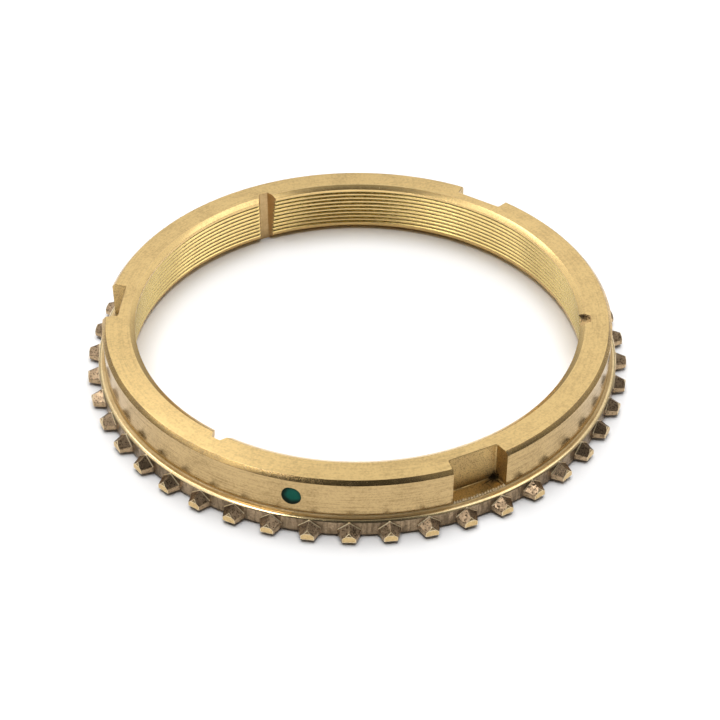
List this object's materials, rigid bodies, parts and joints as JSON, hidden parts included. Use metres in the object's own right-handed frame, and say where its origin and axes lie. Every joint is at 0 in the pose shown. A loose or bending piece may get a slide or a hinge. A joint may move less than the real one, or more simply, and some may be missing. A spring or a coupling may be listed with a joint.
{
  "type": "synchronizer ring",
  "caption": "Brass gearbox synchronizer ring: conical bore with oil grooves, strut slots in the outer wall and pointed blocking teeth on a flange.",
  "frame": {"origin": "on the ring's axis, at the lower face of the toothed flange", "axes": "+Z along the ring's axis, from the toothed flange towards the plain end; +X through an oil groove and the tooth behind it"},
  "size_m": [0.0868, 0.0868, 0.0095],
  "materials": {
    "brass": "turned and milled yellow brass, as-forged on the tooth flanks"
  },
  "bodies": {
    "root": {"synchronizer_ring": "brass"}
  },
  "joints": []
}
